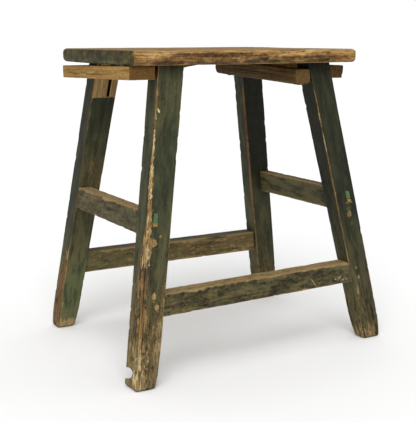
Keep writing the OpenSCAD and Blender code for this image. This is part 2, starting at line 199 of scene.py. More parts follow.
class Piece:
    """One CAD node as a dense mesh that can be rounded, carved and marked."""

    def __init__(self, node, voxel, soften=2):
        points, triangles = mesh_arrays(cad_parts[node].data)
        self.node = node
        self.seed = sum(map(ord, node))
        self.centre, self.axes = grain_axes(points, triangles)
        self.normals, self.offsets = outer_faces(points, triangles)
        turn = Matrix([list(axis) for axis in self.axes]).to_4x4()
        self.object = dense_object(node, turn, voxel, soften)
        self.mesh = self.object.data
        self.at = mesh_arrays(self.mesh)[0]
        self.grain = (self.at - self.centre) @ self.axes.T
        self.depths = self.offsets - self.at @ self.normals.T
        # Depth behind the second nearest outer face, which is small only near a corner
        several = len(self.offsets) > 1
        self.edge = np.sort(self.depths, axis=1)[:, 1] if several else np.zeros(len(self.at))
        self.facing = self.read_facing()
        self.values = {name: np.zeros(len(self.at)) for name in STORED}

    def read_facing(self):
        """Direction that each point of the surface faces."""
        facing = np.empty(len(self.mesh.vertices) * 3, np.float32)
        self.mesh.vertices.foreach_get("normal", facing)
        return facing.reshape(-1, 3).astype(float)

    def write_points(self):
        """Puts the moved points back in the mesh."""
        self.mesh.vertices.foreach_set("co", (self.at * MM).astype(np.float32).ravel())
        self.mesh.update()

    def outer_face(self, direction):
        """Number of the outer face that looks most nearly in a direction."""
        return np.argmax(self.normals @ np.asarray(direction, float))

    def depth(self, direction):
        """How deep each point first lay behind the outer face in a direction."""
        return self.depths[:, self.outer_face(direction)]

    def looks(self, direction, least=0.6):
        """1 where the surface faces a direction, 0 where it doesn't."""
        return step(least, least + 0.25, self.facing @ np.asarray(direction, float))

    def noise(self, size, seed, octaves=1):
        """Noise that runs with this piece's grain."""
        return fractal(self.grain, size, seed + self.seed, octaves)

    def round_off(self, radius, sides=None):
        """Rounds the corners between outer faces to a radius: one number, or one for each point.
        sides are the directions of the faces to round between; without them it rounds all."""
        radius = np.broadcast_to(radius, len(self.at))
        chosen = np.arange(len(self.normals))
        if sides is not None:
            chosen = [self.outer_face(side) for side in sides]
        depths = self.offsets[chosen] - self.at @ self.normals[chosen].T
        reach = np.maximum(radius[:, None] - depths, 0)
        length = np.linalg.norm(reach, axis=1)
        direction = (reach[:, :, None] * self.normals[chosen]).sum(1)
        direction /= np.maximum(np.linalg.norm(direction, axis=1), 1e-6)[:, None]
        self.at -= np.maximum(length - radius, 0)[:, None] * direction
        self.write_points()
        self.facing = self.read_facing()

    def carve(self, depth):
        """Takes wood away, straight into the surface."""
        self.at -= self.facing * np.maximum(depth, 0)[:, None]

    def split(self, face, across, along, place, start, end, width=0.9, depth=1.2, wander=2.0,
              seed=0):
        """A crack on one face: across is measured over the face, and start and end along it."""
        line = np.c_[along, along * 0, along * 0]
        path = place + wander * (fractal(line, (38, 1, 1), self.seed + seed, 3) - 0.5) * 2
        quarter = 0.25 * (end - start)
        taper = step(start, start + quarter, along) * step(end, end - quarter, along)
        mark = face * taper * np.exp(-((across - path) / width) ** 2)
        self.values["split"] = np.maximum(self.values["split"], mark)
        self.carve(depth * mark)

    def finish(self, material, slot):
        """Stores the values that the material reads, and puts the piece in its CAD node's place."""
        self.write_points()
        self.mesh.shade_smooth()
        # Each piece reads the materials' noise at a place of its own
        other_wood = [137.0 * (self.seed % 11), 71.0 * (self.seed % 7), 0]
        layer = self.mesh.attributes.new("grain", "FLOAT_VECTOR", "POINT")
        grain = (self.grain + other_wood) * MM
        layer.data.foreach_set("vector", grain.astype(np.float32).ravel())
        self.values["end_grain"] = step(0.55, 0.85, abs(self.facing @ self.axes[0]))
        for name, values in self.values.items():
            layer = self.mesh.attributes.new(name, "FLOAT", "POINT")
            layer.data.foreach_set("value", np.clip(values, 0, 1).astype(np.float32))
        self.mesh.materials.clear()
        self.mesh.materials.append(material)
        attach(self.object, "root")
        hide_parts(self.node)


# ---- materials -----------------------------------------------------------

def tone(red, green, blue):
    """A colour given as screen values from 0 to 255, as the linear values that shaders use."""
    linear = [v / 12.92 if v <= 0.04045 else ((v + 0.055) / 1.055) ** 2.4
              for v in (red / 255, green / 255, blue / 255)]
    return (*linear, 1.0)


class Shader:
    """Short forms for building one material's nodes."""

    def __init__(self, name):
        self.material = bpy.data.materials.new(name)
        self.material.use_nodes = True
        self.tree = self.material.node_tree
        self.surface = self.tree.nodes["Principled BSDF"]

    def node(self, kind, **settings):
        """A new node of a kind, with its settings."""
        made = self.tree.nodes.new("ShaderNode" + kind)
        for key, value in settings.items():
            setattr(made, key, value)
        return made

    def feed(self, socket, value):
        """Links another node's output to a socket, or sets the socket to a constant."""
        if isinstance(value, bpy.types.NodeSocket):
            self.tree.links.new(value, socket)
        else:
            socket.default_value = value

    def stored(self, name, output="Fac"):
        """A value stored on the mesh."""
        return self.node("Attribute", attribute_name=name).outputs[output]

    def noise(self, size, detail=3.0, roughness=0.55):
        """Noise along the grain. size is one bump's length along, across and through, in mm."""
        scaled = self.node("VectorMath", operation="DIVIDE")
        self.feed(scaled.inputs[0], self.stored("grain", "Vector"))
        self.feed(scaled.inputs[1], [v * MM for v in size])
        texture = self.node("TexNoise")
        self.feed(texture.inputs["Vector"], scaled.outputs[0])
        self.feed(texture.inputs["Scale"], 1.0)
        self.feed(texture.inputs["Detail"], detail)
        self.feed(texture.inputs["Roughness"], roughness)
        return texture.outputs["Fac"]

    def math(self, operation, a, b=0.0):
        """One sum on one or two values."""
        made = self.node("Math", operation=operation)
        self.feed(made.inputs[0], a)
        self.feed(made.inputs[1], b)
        return made.outputs[0]

    def spread(self, value, low, high, to_low=0.0, to_high=1.0):
        """Stretches low..high to another range, smoothly and clamped."""
        made = self.node("MapRange", interpolation_type="SMOOTHSTEP")
        for socket, number in zip(made.inputs, (value, low, high, to_low, to_high)):
            self.feed(socket, number)
        return made.outputs[0]

    def ramp(self, value, *stops):
        """Colours along a value; each stop is (position, colour)."""
        made = self.node("ValToRGB")
        elements = made.color_ramp.elements
        while len(elements) < len(stops):
            elements.new(0.5)
        for element, (position, colour) in zip(elements, stops):
            element.position = position
            element.color = colour
        self.feed(made.inputs[0], value)
        return made.outputs[0]

    def blend(self, share, first, second):
        """first where share is 0, second where it is 1."""
        made = self.node("Mix", data_type="RGBA")
        self.feed(made.inputs[0], share)
        self.feed(made.inputs[6], first)
        self.feed(made.inputs[7], second)
        return made.outputs[2]

    def bump(self, height, distance, under=None):
        """Relief of a given depth in millimetres, on top of another relief if there is one."""
        made = self.node("Bump")
        self.feed(made.inputs["Strength"], 1.0)
        self.feed(made.inputs["Distance"], distance * MM)
        self.feed(made.inputs["Height"], height)
        if under is not None:
            self.feed(made.inputs["Normal"], under)
        return made.outputs["Normal"]


# How far growth rings sway from round
RING_SWAY = 9.0


def rings(shader, spacing, pith):
    """Growth rings round a pith line beside the piece, as 0..1 from early to late wood."""
    parts = shader.node("SeparateXYZ")
    shader.feed(parts.inputs[0], shader.stored("grain", "Vector"))
    wobble = shader.math("MULTIPLY", shader.noise((140, 30, 30), detail=2.0), RING_SWAY * MM)
    across = shader.math("ADD", parts.outputs[1], pith[0] * MM)
    through = shader.math("ADD", parts.outputs[2], pith[1] * MM)
    square = shader.math("ADD", shader.math("MULTIPLY", across, across),
                         shader.math("MULTIPLY", through, through))
    distance = shader.math("ADD", shader.math("SQRT", square), wobble)
    return shader.math("FRACT", shader.math("DIVIDE", distance, spacing * MM))


# Marks that look the same on all wood
OPEN_PORES = tone(44, 30, 15)
SCRAPED_WOOD = tone(206, 184, 134)
# Near-black for grime, and for painted shade
GRIME_AND_SHADE = tone(23, 23, 15)
# Dark brown in cracks: their grime, and painted shade in the narrow gap
INSIDE_A_CRACK = tone(40, 25, 14)
WOOD_ROUGHNESS = 0.78
PAINT_ROUGHNESS = 0.62


def wood_material(name, wood, paint=None, ring_spacing=3.2, pith=(55, 70), ring_depth=0.35,
                  streak_share=0.75, end_shade=0.55):
    """Bare wood, with old paint over it where "bare" is low.

    wood is (dark, middle, light, weathered, stained);
    paint is (deep, usual, faded, undercoat, fresh).
    ring_depth is how dark the late wood gets, streak_share how much of the tint is fine streaks,
    and end_shade how dark the end grain is."""
    s = Shader(name)
    streaks = s.noise((150, 1.8, 1.8), detail=5.0, roughness=0.58)
    broad = s.noise((70, 15, 15), detail=4.0)
    mottle = s.noise((13, 5, 5), detail=5.0, roughness=0.68)
    clouds = s.noise((44, 11, 11), detail=5.0, roughness=0.62)
    specks = s.noise((3.0, 1.6, 1.6), detail=3.0, roughness=0.7)
    ring = rings(s, ring_spacing, pith)

    dark, middle, light, weathered, stained = wood
    tint = s.math("ADD", s.math("MULTIPLY", streaks, streak_share),
                  s.math("MULTIPLY", broad, 1 - streak_share))
    colour = s.ramp(tint, (0.30, dark), (0.47, middle), (0.66, light))
    colour = s.blend(s.math("MULTIPLY", s.spread(ring, 0.35, 0.95), ring_depth), colour, dark)
    colour = s.blend(s.spread(mottle, 0.50, 0.68, 0.0, 0.45), colour, dark)
    colour = s.blend(s.spread(specks, 0.54, 0.68, 0.0, 0.55), colour, dark)
    colour = s.blend(s.spread(specks, 0.46, 0.32, 0.0, 0.35), colour, light)
    stain = s.math("MULTIPLY", s.stored("brown"), s.spread(mottle, 0.36, 0.60, 0.35, 1.0))
    colour = s.blend(stain, colour, stained)
    grey = s.math("MULTIPLY", s.stored("aged"), s.spread(mottle, 0.38, 0.62, 0.45, 1.0))
    colour = s.blend(grey, colour, weathered)
    colour = s.blend(s.math("MULTIPLY", s.stored("end_grain"), end_shade), colour, dark)
    pores = s.math("MULTIPLY", s.stored("end_grain"), s.spread(specks, 0.48, 0.60, 0.0, 0.7))
    colour = s.blend(pores, colour, OPEN_PORES)
    rough = WOOD_ROUGHNESS
    relief = s.bump(mottle, 0.4, s.bump(streaks, 0.5))

    if paint is not None:
        deep, usual, faded, undercoat, fresh = paint
        ragged = s.math("ADD", s.math("MULTIPLY", mottle, 0.55), s.math("MULTIPLY", specks, 0.30))
        ragged = s.math("ADD", ragged, s.math("MULTIPLY", streaks, 0.30))
        uneven = s.math("MULTIPLY", s.math("SUBTRACT", ragged, 0.575), 1.6)
        wear = s.math("ADD", s.stored("bare"), uneven)
        gone = s.spread(wear, 0.46, 0.54)
        thin = s.spread(wear, 0.22, 0.50)
        cloud = s.math("ADD", s.math("MULTIPLY", clouds, 0.60), s.math("MULTIPLY", mottle, 0.30))
        cloud = s.math("ADD", cloud, s.math("MULTIPLY", specks, 0.10))
        coat = s.ramp(cloud, (0.36, deep), (0.50, usual), (0.74, faded))
        rub = s.math("MULTIPLY", s.stored("aged"), s.spread(clouds, 0.38, 0.57, 0.05, 0.92))
        coat = s.blend(rub, coat, faded)
        grit = s.math("MULTIPLY", s.stored("aged"), s.spread(specks, 0.52, 0.64, 0.0, 0.9))
        coat = s.blend(grit, coat, undercoat)
        coat = s.blend(s.math("MULTIPLY", thin, 0.65), coat, undercoat)
        coat = s.blend(s.stored("fresh"), coat, fresh)
        colour = s.blend(gone, coat, colour)
        rough = s.spread(gone, 0.0, 1.0, PAINT_ROUGHNESS, WOOD_ROUGHNESS)
        relief = s.bump(s.math("SUBTRACT", 1.0, gone), 0.35, relief)

    patchy = s.math("MULTIPLY", s.math("SUBTRACT", specks, 0.5), 0.9)
    scrape = s.math("ADD", s.stored("pale"), patchy)
    colour = s.blend(s.spread(scrape, 0.45, 0.60), colour, SCRAPED_WOOD)
    # Grime, and painted shade where the meshes store it, darken the colour towards near-black
    soil_and_shade = s.math("MULTIPLY", s.stored("dirt_and_shade"), s.spread(mottle, 0.30, 0.60, 0.65, 1.0))
    colour = s.blend(soil_and_shade, colour, GRIME_AND_SHADE)
    # Cracks and dark specks painted dark brown; in the cracks this is grime and painted shade
    colour = s.blend(s.math("MULTIPLY", s.stored("split"), 0.9), colour, INSIDE_A_CRACK)
    s.feed(s.surface.inputs["Base Color"], colour)
    s.feed(s.surface.inputs["Roughness"], rough)
    s.feed(s.surface.inputs["Normal"], relief)
    s.surface.inputs["Specular IOR Level"].default_value = 0.16
    return s.material


def iron_material():
    """Rusted nail heads."""
    s = Shader("nail_iron")
    blotch = s.noise((3.5, 3.5, 3.5), detail=5.0, roughness=0.7)
    fine = s.noise((0.6, 0.6, 0.6), detail=3.0, roughness=0.7)
    colour = s.ramp(blotch, (0.36, tone(38, 33, 31)), (0.50, tone(72, 50, 38)),
                    (0.64, tone(112, 68, 42)))
    s.feed(s.surface.inputs["Base Color"], colour)
    s.feed(s.surface.inputs["Roughness"], s.spread(blotch, 0.35, 0.65, 0.50, 0.88))
    s.feed(s.surface.inputs["Normal"], s.bump(fine, 0.25, s.bump(blotch, 0.4)))
    s.surface.inputs["Metallic"].default_value = 0.35
    return s.material


GREEN_PAINT = (tone(30, 33, 22), tone(52, 56, 38), tone(90, 88, 58),
               tone(112, 86, 48), tone(72, 116, 76))
OLD_WOOD = (tone(76, 49, 25), tone(150, 117, 68), tone(210, 182, 126),
            tone(146, 127, 88), tone(98, 60, 31))
SEAT_PAINT = (tone(33, 33, 18), tone(56, 52, 28), tone(102, 90, 50),
              tone(96, 78, 46), tone(116, 128, 84))
SEAT_WOOD = (tone(74, 45, 22), tone(152, 114, 64), tone(212, 178, 116),
             tone(122, 104, 80), tone(82, 50, 28))
NEW_WOOD = (tone(88, 60, 24), tone(150, 115, 58), tone(184, 149, 86),
            tone(130, 102, 58), tone(102, 70, 35))
BARE_WOOD = (tone(36, 25, 10), tone(82, 60, 26), tone(130, 101, 53),
             tone(120, 93, 50), tone(70, 44, 20))

painted = wood_material("painted_wood", OLD_WOOD, GREEN_PAINT, pith=(48, 60))
seat_wood = wood_material("worn_seat_wood", SEAT_WOOD, SEAT_PAINT, ring_spacing=4.5, pith=(20, 95),
                          ring_depth=0.22, streak_share=0.60)
new_wood = wood_material("new_wood", NEW_WOOD, ring_spacing=2.6, pith=(40, 90), ring_depth=0.30,
                         end_shade=0.8)
bare_wood = wood_material("bare_wood", BARE_WOOD, ring_spacing=3.4, pith=(35, 60), end_shade=0.15)
iron = iron_material()


# ---- wear of each kind of piece ------------------------------------------

FRONT, BACK, LEFT, UP, DOWN = (0, -1, 0), (0, 1, 0), (-1, 0, 0), (0, 0, 1), (0, 0, -1)
RIGHT = (1, 0, 0)
# Height of the seat's underside, where the leg tenons begin
SEAT_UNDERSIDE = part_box("seat")[0][2] / MM
# Size of the small even faces of each kind of piece
LEG_VOXEL = 1.15
RAIL_VOXEL = 1.2
SEAT_VOXEL = 1.85
NEW_BATTEN_VOXEL = 1.2
DARK_STRIP_VOXEL = 1.3
SMALL_PIECE_VOXEL = 0.6
NAIL_VOXEL = 0.45
CHIP_DEPTH = 0.5


def hand_worked(piece, wave=0.22, chip=0.9, radius=0.7, spread=1.0):
    """Uneven faces, unevenly rounded corners, and chips along the corners. wave and chip are how
    deep these go, and the radius changes by up to spread."""
    piece.round_off(radius + spread * piece.noise((45, 60, 60), 1, 2))
    piece.carve(wave * piece.noise((70, 22, 22), 2, 2))
    piece.carve(0.22 * piece.noise((24, 2.6, 2.6), 3, 2))
    near_edge = np.exp(-(piece.edge / 4.0) ** 2)
    piece.carve(chip * near_edge * step(0.60, 0.80, piece.noise((11, 7, 7), 4, 2)))


def edge_wear(piece, width, strength=0.62):
    """Paint rubbed off along the corners, over a width that changes along them."""
    broad = piece.noise((42, 40, 40), 5, 2) ** 1.5
    local = width * (0.15 + 1.4 * broad + 0.6 * piece.noise((7, 5, 5), 6))
    return strength * np.exp(-(piece.edge / local) ** 2)


def between(low, high, values, soft=8.0):
    """1 from low to high, fading to 0 on both sides."""
    return step(low - soft, low + soft, values) * step(high + soft, high - soft, values)


def spot(across, up, middle, size, lean=0.0):
    """1 inside a ragged oval on a face, 0 outside: its middle, half sizes and lean in degrees."""
    a, u = across - middle[0], up - middle[1]
    turn = math.radians(lean)
    a, u = a * math.cos(turn) - u * math.sin(turn), a * math.sin(turn) + u * math.cos(turn)
    ragged = 0.25 + 1.5 * fractal(np.c_[a, u, u * 0], (1.2 * size[0], 0.7 * size[1], 9), 77, 3)
    return step(1.20, 0.85, np.hypot(a / size[0], u / size[1]) / ragged)


def chips(piece, face, places, strength=1.0):
    """Small broken spots on a face; each place is (middle, half sizes, lean in degrees)."""
    x, _, z = piece.at.T
    mark = face * np.max([spot(x, z, *place) for place in places], axis=0)
    piece.values["bare"] += strength * mark
    piece.values["dirt_and_shade"] *= 1 - 0.7 * mark
    piece.carve(CHIP_DEPTH * mark)


def corner_strip(piece, first, second, first_width, second_width, seed):
    """1 near the corner between two outer faces, with a ragged border at the given widths."""
    ragged = 0.10 + 0.70 * piece.noise((26, 30, 30), seed, 3)
    ragged += 1.15 * piece.noise((6, 3.5, 3.5), seed + 1, 2)
    reach = np.hypot(piece.depth(second) / np.maximum(first_width, 0.3),
                     piece.depth(first) / np.maximum(second_width, 0.3))
    return step(1.15, 0.80, reach / ragged)


# How far a foot is worn narrower at the floor, and the height where that begins
FOOT_INSET = 2.4
FOOT_HEIGHT = 24


def taper_foot(piece, kept):
    """Wears the foot narrower towards the floor, less where kept is 1."""
    x, y, z = piece.at.T
    low = z < 14
    middle = np.array([x[low].mean(), y[low].mean()])
    away = piece.at[:, :2] - middle
    away /= np.maximum(np.linalg.norm(away, axis=1), 1)[:, None]
    side = 1 - abs(piece.facing[:, 2])
    inset = FOOT_INSET * np.clip(1 - z / FOOT_HEIGHT, 0, 1) ** 2 * side * (1 - kept)
    piece.at[:, :2] -= inset[:, None] * away
    piece.write_points()


def wear_leg(piece, side_x, side_y):
    """Paint thin towards the foot and at the corners, wood bare and scratched at the foot, and
    painted shade just under the seat and high on the inner faces.
    """
    z = piece.at[:, 2]
    value = piece.values
    seated = step(SEAT_UNDERSIDE - 1, SEAT_UNDERSIDE + 1, z)
    value["bare"] += seated
    value["aged"] += 0.6 * seated
    value["bare"] += 0.06 + edge_wear(piece, 2.0, strength=0.46) * (1 - 0.6 * step(110, 40, z))
    value["bare"] += 0.38 * step(190, 10, z) * (0.3 + piece.noise((60, 12, 12), 6, 2))
    value["bare"] += 0.30 * step(34, 3, z)
    value["aged"] += 0.9 * step(300, 50, z) * (0.25 + 0.9 * piece.noise((90, 18, 18), 7, 2))
    value["brown"] += 0.45 * piece.noise((60, 10, 10), 8, 2)
    # Painted shade in a band just under the seat; grime at the very foot
    value["dirt_and_shade"] += 0.45 * step(452, 476, z) * (1 - 0.6 * seated) + 0.35 * step(5, 0, z)
    value["dirt_and_shade"] += 0.28 * step(0.50, 0.66, piece.noise((60, 12, 12), 9, 3))
    value["aged"] += 0.30 * step(0.46, 0.62, piece.noise((70, 14, 14), 29, 3))
    # Painted shade on the two inner faces, darker towards the seat
    inner = piece.looks((-side_x, 0, 0)) + piece.looks((0, -side_y, 0))
    value["dirt_and_shade"] += 0.25 * inner * step(160, 380, z)
    scratch = step(0.60, 0.78, piece.noise((46, 1.9, 1.9), 19, 2)) * step(85, 40, z)
    value["pale"] += 0.46 * scratch + 0.26 * step(120, 30, z) * piece.noise((16, 5, 5), 41, 2)
    value["dirt_and_shade"] += 0.50 * step(120, 50, z) * step(0.54, 0.68, piece.noise((10, 4, 4), 42, 3))
    piece.carve(0.3 * scratch)


def leg(node, side_x, side_y, worn_up=45, kept=None):
    """A leg whose foot is worn round from the height worn_up down. side_x and side_y are -1 or 1
    and say where it stands; kept names the two sides of a corner that stays sharp."""
    piece = Piece(node, LEG_VOXEL)
    z = piece.at[:, 2]
    spared = 0.0
    if kept is not None:
        spared = step(26, 6, np.hypot(piece.depth(kept[0]), piece.depth(kept[1])))
    piece.round_off(13 * step(110, 10, z), (LEFT, FRONT))
    hand_worked(piece, radius=0.7 + 5.5 * step(worn_up, 5, z) * (1 - spared))
    taper_foot(piece, spared)
    wear_leg(piece, side_x, side_y)
    return piece


# Where the paint is broken away along the front left leg's outer front corner: heights, and
# how far it reaches over the left and the front face there
STRIP_Z = (44, 103, 163, 207, 230, 260, 296, 333, 355, 428)
STRIP_LEFT = (20, 18, 16, 15, 10, 4, 5.5, 4.8, 0.8, 2)
STRIP_FRONT = (15, 10.6, 6, 10.5, 7.2, 9, 4, 5.9, 3.3, 2.3)


def leg_front_left():
    """The leg with a broad strip of bare wood along its outer front corner."""
    piece = leg("leg_front_left", -1, -1, worn_up=80, kept=(LEFT, BACK))
    x, _, z = piece.at.T
    value = piece.values
    strip = corner_strip(piece, LEFT, FRONT, np.interp(z, STRIP_Z, STRIP_LEFT),
                         np.interp(z, STRIP_Z, STRIP_FRONT), 20)
    front_low = step(230, 110, z)
    value["bare"] += 0.16 * front_low * (0.5 + piece.noise((40, 9, 9), 36, 3))
    value["aged"] += 0.45 * front_low
    low = step(240, 175, z)
    remnant = step(0.50, 0.60, piece.noise((16, 4, 4), 22, 3)) * (0.55 + 0.45 * low)
    value["bare"] = np.maximum(value["bare"], strip * (1.0 - 0.85 * remnant))
    stain = 0.10 + 0.9 * step(0.46, 0.60, piece.noise((44, 3.5, 3.5), 23, 2))
    value["brown"] += strip * low * stain * (0.4 + 0.6 * step(20, 80, z))
    value["pale"] += 0.44 * strip * low * step(0.54, 0.68, piece.noise((13, 2.6, 2.6), 37, 2))
    value["aged"] *= 1 - 0.8 * strip * step(35, 90, z)
    value["dirt_and_shade"] += 0.36 * step(80, 35, z) * piece.noise((8, 5, 5), 45, 3)
    cream = 0.08 + 0.18 * step(225, 265, z) + 0.52 * piece.noise((18, 5, 5), 27, 2)
    value["pale"] += strip * between(185, 425, z, 12) * cream
    specks = step(0.60, 0.68, piece.noise((7, 2.8, 2.8), 46, 2))
    value["split"] += 0.75 * strip * specks * step(150, 200, z)
    border = 4 * strip * (1 - strip)
    value["dirt_and_shade"] += 0.6 * border * piece.noise((9, 5, 5), 38, 2)
    piece.carve(0.45 * strip + 0.6 * strip * low * piece.noise((30, 2.2, 2.2), 24, 2))
    left, front = piece.looks(LEFT), piece.looks(FRONT)
    from_front, from_left = piece.depth(FRONT), piece.depth(LEFT)
    for place, start, end in ((3.5, 60, 235), (8.0, 45, 190), (13.0, 60, 175)):
        piece.split(left, from_front, z, place, start, end, seed=int(place * 2))
    for place, start, end in ((3.0, 90, 225), (7.5, 45, 120), (12.0, 50, 90)):
        piece.split(front, from_left, z, place, start, end, width=0.8, seed=40 + int(place * 2))
    chips(piece, front, (((-192.5, 218), (4, 7), -25),
                         ((-200, 139), (2.4, 6), 10),
                         ((-196, 122), (2.6, 5), -15),
                         ((-217, 110), (2.4, 5), 0),
                         ((-181.5, 227), (1.6, 2.4), 0)))
    value["pale"] += front * spot(x, z, (-168.5, 412), (1.2, 4.5), -28)
    piece.finish(painted, "painted_wood")


def leg_front_right():
    """A dark leg with a thin bare line on its inner front corner, and chips by its rail."""
    piece = leg("leg_front_right", 1, -1)
    x, _, z = piece.at.T
    value = piece.values
    line = corner_strip(piece, LEFT, FRONT, 1.6, 2.0, 21) * between(135, 430, z, 15)
    value["bare"] += 0.75 * line
    value["pale"] += line * (0.30 + 0.30 * between(330, 400, z))
    front, inner = piece.looks(FRONT), piece.looks(LEFT)
    value["bare"] -= 0.5 * corner_strip(piece, LEFT, FRONT, 4.0, 4.0, 22) * step(150, 120, z)
    chips(piece, front, (((182, 241), (3.6, 2.0), 10),
                         ((190, 242), (2.2, 2.0), 0),
                         ((185, 222), (3.2, 7), -10),
                         ((194, 128), (1.3, 3.5), -8),
                         ((198.5, 111), (1.8, 4.5), 5),
                         ((195.5, 88), (1.7, 10), -4)), strength=0.8)
    green_rest = front * np.maximum(spot(x, z, (184, 232), (4.5, 3.0)),
                                    spot(x, z, (189, 206), (2.6, 4.5)))
    value["fresh"] += 0.55 * green_rest
    value["pale"] += 0.40 * front * spot(x, z, (186, 226), (6, 12))
    value["brown"] += 0.8 * front * step(140, 90, z) * step(0.45, 0.6, piece.noise((50, 4, 4), 25, 2))
    # Painted shade on the inner face, darker higher up towards the seat
    value["dirt_and_shade"] += inner * (0.05 + 0.20 * step(70, 150, z) + 0.35 * step(150, 240, z))
    value["dirt_and_shade"] += 0.56 * front * (0.4 + 0.6 * step(100, 220, z))
    value["aged"] += 0.35 * inner * step(150, 70, z)
    value["aged"] *= 1 - 0.5 * front * step(120, 220, z)
    piece.split(front, piece.depth(LEFT), z, 21.0, 4, 120, seed=3)
    piece.finish(painted, "painted_wood")


def leg_back_left():
    """Never painted where the lost rail was, scuffed over the end rail, brown at the foot."""
    piece = leg("leg_back_left", -1, 1)
    x, y, z = piece.at.T
    value = piece.values
    inside, left = piece.looks(FRONT), piece.looks(LEFT)
    patch = inside * step(416.5, 419, z)
    value["bare"] += patch
    value["dirt_and_shade"] *= 1 - patch
    value["aged"] += 0.35 * patch
    scuffed = inside * between(262, 312, z, 10) * between(-192, -158, x, 8)
    value["bare"] += 0.42 * scuffed * piece.noise((22, 8, 8), 28, 3)
    value["bare"] += 0.6 * left * spot(y, z, (134, 138), (11, 13))
    corner = corner_strip(piece, LEFT, FRONT, 4.0, 1.2, 26) * step(125, 110, z)
    strip = np.maximum(left * step(135, 100, z), corner)
    value["bare"] += 0.70 * strip
    value["brown"] += strip
    value["dirt_and_shade"] += 0.25 * strip
    value["aged"] *= 1 - 0.6 * strip
    value["aged"] += inside * (0.55 * between(200, 320, z, 25) + 0.9 * step(150, 90, z))
    value["dirt_and_shade"] *= 1 - 0.8 * inside * step(170, 110, z)
    value["bare"] -= 0.22 * inside * between(25, 150, z, 12)
    value["dirt_and_shade"] += 0.38 * left * step(120, 200, z)
    value["fresh"] += 0.15 * inside * step(150, 80, z)
    piece.split(left, piece.depth(BACK), z, 12.0, 5, 150, seed=5)
    piece.finish(painted, "painted_wood")


def leg_back_right():
    """A leg with one brown, rubbed streak, and painted shade on its inward front face."""
    piece = leg("leg_back_right", 1, 1)
    z = piece.at[:, 2]
    value = piece.values
    inner, front = piece.looks(LEFT), piece.looks(FRONT)
    streak = inner * step(8.5, 5.5, piece.depth(FRONT)) * between(180, 430, z, 15)
    value["bare"] += 0.55 * streak
    value["brown"] += 1.2 * streak
    # Painted shade on the inward front face, darkest towards the seat
    value["dirt_and_shade"] += 0.75 * front * step(220, 320, z) + 0.35 * front
    piece.finish(painted, "painted_wood")


def rail(node):
    """A rail with worn corners. Its tenon ends keep their paint."""
    piece = Piece(node, RAIL_VOXEL)
    hand_worked(piece)
    value = piece.values
    value["bare"] += 0.12 + edge_wear(piece, 3.0)
    value["aged"] += 0.60 + 0.6 * piece.noise((40, 20, 20), 9, 2)
    value["brown"] += 0.6 * piece.noise((60, 10, 10), 8, 2)
    ends = step(0.7, 0.9, abs(piece.facing @ piece.axes[0]))
    value["bare"] *= 1 - 0.9 * ends
    return piece


def rail_front():
    """A grimy rail with a bare top, a reddish lower edge and one thin scratch."""
    piece = rail("rail_front")
    x, _, z = piece.at.T
    value = piece.values
    front = piece.looks(FRONT)
    value["bare"] += 0.42 * piece.looks(UP) + front * 0.24 * piece.noise((30, 6, 6), 11, 3)
    value["dirt_and_shade"] += 0.50 * front * step(0.52, 0.64, piece.noise((16, 7, 7), 10, 3))
    value["dirt_and_shade"] += 0.40 * front * step(0.52, 0.62, piece.noise((6, 3.5, 3.5), 43, 2))
    value["pale"] += 0.30 * front * piece.noise((22, 9, 9), 44, 2)
    value["bare"] -= 0.25 * front * np.exp(-(piece.depth(DOWN) / 3.0) ** 2)
    value["brown"] += 0.8 * front * np.exp(-(piece.depth(DOWN) / 4.0) ** 2)
    height = z - z.min()
    scratch = front * np.exp(-((height - (108.5 - x) * 1.28) / 1.5) ** 2) * between(93, 107, x, 2)
    value["pale"] += 0.62 * scratch + 0.34 * front * spot(x, height, (161, 8), (12, 6))
    piece.carve(0.4 * scratch)
    piece.split(front, piece.depth(DOWN), x, 9.0, -120, 60, width=0.7, seed=6)
    piece.finish(painted, "painted_wood")


def rail_back():
    """A rail worn to brown wood on the right, with faded green left on the left."""
    piece = rail("rail_back")
    x = piece.at[:, 0]
    value = piece.values
    front = piece.looks(FRONT)
    right_part, left_part = front * step(-110, -60, x), front * step(-60, -110, x)
    value["bare"] += 0.29 * right_part
    value["brown"] += 0.9 * right_part
    to_corner = np.minimum(piece.depth(UP), piece.depth(DOWN))
    value["bare"] -= 0.30 * front * np.exp(-(to_corner / 3.0) ** 2)
    value["dirt_and_shade"] += 0.20 * piece.looks(UP)
    value["aged"] += 0.9 * left_part
    value["bare"] += 0.27 * left_part
    value["fresh"] += 0.09 * left_part
    value["pale"] += 0.20 * left_part
    piece.finish(painted, "painted_wood")


def end_rail(node):
    """An end rail whose tenon ends show on the legs in a brighter green."""
    piece = rail(node)
    piece.values["fresh"] += 0.65 * (piece.looks(FRONT, 0.7) + piece.looks(BACK, 0.7))
    return piece


def end_rail_left():
    """A rail with a bare top, dark patches and pale scuffs."""
    piece = end_rail("end_rail_left")
    y = piece.at[:, 1]
    value = piece.values
    left, up = piece.looks(LEFT), piece.looks(UP)
    value["bare"] += 0.45 * up + 0.44 * left * piece.noise((26, 7, 7), 13, 3)
    value["dirt_and_shade"] += 0.55 * left * step(0.54, 0.66, piece.noise((20, 8, 8), 14, 3))
    value["dirt_and_shade"] += 0.34 * left * step(0.50, 0.60, piece.noise((6, 3.5, 3.5), 43, 2))
    value["pale"] += 0.34 * left * piece.noise((20, 8, 8), 44, 2)
    value["bare"] -= 0.35 * left * np.exp(-(piece.depth(DOWN) / 4.0) ** 2)
    value["bare"] -= 0.22 * left * step(20, -70, y)
    value["pale"] += 0.42 * np.exp(-(piece.depth(UP) / 2.0) ** 2) * step(60, 110, y)
    piece.finish(painted, "painted_wood")


def end_rail_right():
    """A rail that kept its paint, brown along its upper edge."""
    piece = end_rail("end_rail_right")
    value = piece.values
    value["bare"] += 0.3 * piece.looks(UP)
    value["brown"] += 0.9 * piece.looks(LEFT) * np.exp(-(piece.depth(UP) / 8.0) ** 2)
    piece.finish(painted, "painted_wood")


